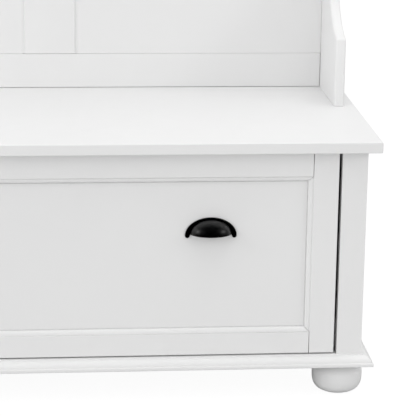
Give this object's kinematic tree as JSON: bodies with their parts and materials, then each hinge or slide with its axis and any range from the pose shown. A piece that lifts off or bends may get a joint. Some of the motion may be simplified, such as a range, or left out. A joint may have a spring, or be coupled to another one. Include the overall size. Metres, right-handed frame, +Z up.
{
  "type": "hall tree with hooks",
  "caption": "Painted hall tree: storage bench with a wide drawer on ball bearing slides, cup pulls and bun feet, and a panelled back with double coat hooks under a moulded top shelf.",
  "frame": {"origin": "on the floor, under the middle of the whole piece", "axes": "+Z up, +X to the right seen from the front, -Y the front, where the drawer opens"},
  "size_m": [1.08, 0.47, 1.83],
  "materials": {
    "white_paint": "satin white paint on board",
    "drawer_board": "white melamine on particle board",
    "black_metal": "black satin powder coat",
    "zinc_steel": "bright zinc plated steel"
  },
  "bodies": {
    "cabinet": {"back_bottom_rail": "white_paint", "back_panel_left": "white_paint", "back_panel_right": "white_paint", "base_moulding_front": "white_paint", "base_moulding_left": "white_paint", "base_moulding_right": "white_paint", "bench_back": "white_paint", "bench_floor": "white_paint", "bench_top": "white_paint", "bun_foot_front_left": "white_paint", "bun_foot_front_right": "white_paint", "bun_foot_rear_left": "white_paint", "bun_foot_rear_right": "white_paint", "centre_stile": "white_paint", "crown_moulding_front": "white_paint", "crown_moulding_left": "white_paint", "crown_moulding_right": "white_paint", "end_panel_left": "white_paint", "end_panel_right": "white_paint", "front_bottom_rail": "white_paint", "front_post_left": "white_paint", "front_post_right": "white_paint", "hook_1": "black_metal", "hook_2": "black_metal", "hook_3": "black_metal", "hook_4": "black_metal", "hook_rail": "white_paint", "hook_screw_1_lower": "black_metal", "hook_screw_1_upper": "black_metal", "hook_screw_2_lower": "black_metal", "hook_screw_2_upper": "black_metal", "hook_screw_3_lower": "black_metal", "hook_screw_3_upper": "black_metal", "hook_screw_4_lower": "black_metal", "hook_screw_4_upper": "black_metal", "hutch_side_left": "white_paint", "hutch_side_right": "white_paint", "slide_cabinet_left": "zinc_steel", "slide_cabinet_right": "zinc_steel", "slide_spacer_left": "drawer_board", "slide_spacer_right": "drawer_board", "top_shelf": "white_paint"},
    "drawer": {"cup_pull_left": "black_metal", "cup_pull_right": "black_metal", "drawer_back": "drawer_board", "drawer_bottom": "drawer_board", "drawer_panel": "white_paint", "drawer_rail_bottom": "white_paint", "drawer_rail_top": "white_paint", "drawer_side_left": "drawer_board", "drawer_side_right": "drawer_board", "drawer_stile_left": "white_paint", "drawer_stile_right": "white_paint", "slide_drawer_left": "zinc_steel", "slide_drawer_right": "zinc_steel"},
    "slide_middle_left": {"slide_middle_left": "zinc_steel"},
    "slide_middle_right": {"slide_middle_right": "zinc_steel"}
  },
  "joints": [
    {"name": "drawer_slide", "type": "slide", "parent": "cabinet", "child": "drawer", "axis": [0, -1, 0], "range_m": [0, 0.33]},
    {"name": "slide_middle_left_travel", "type": "slide", "parent": "cabinet", "child": "slide_middle_left", "axis": [0, -1, 0], "range_m": [0, 0.165]},
    {"name": "slide_middle_right_travel", "type": "slide", "parent": "cabinet", "child": "slide_middle_right", "axis": [0, -1, 0], "range_m": [0, 0.165]}
  ],
  "couplings": [
    {"joint": "slide_middle_left_travel", "follows": "drawer_slide", "ratio": 0.5},
    {"joint": "slide_middle_right_travel", "follows": "drawer_slide", "ratio": 0.5}
  ]
}
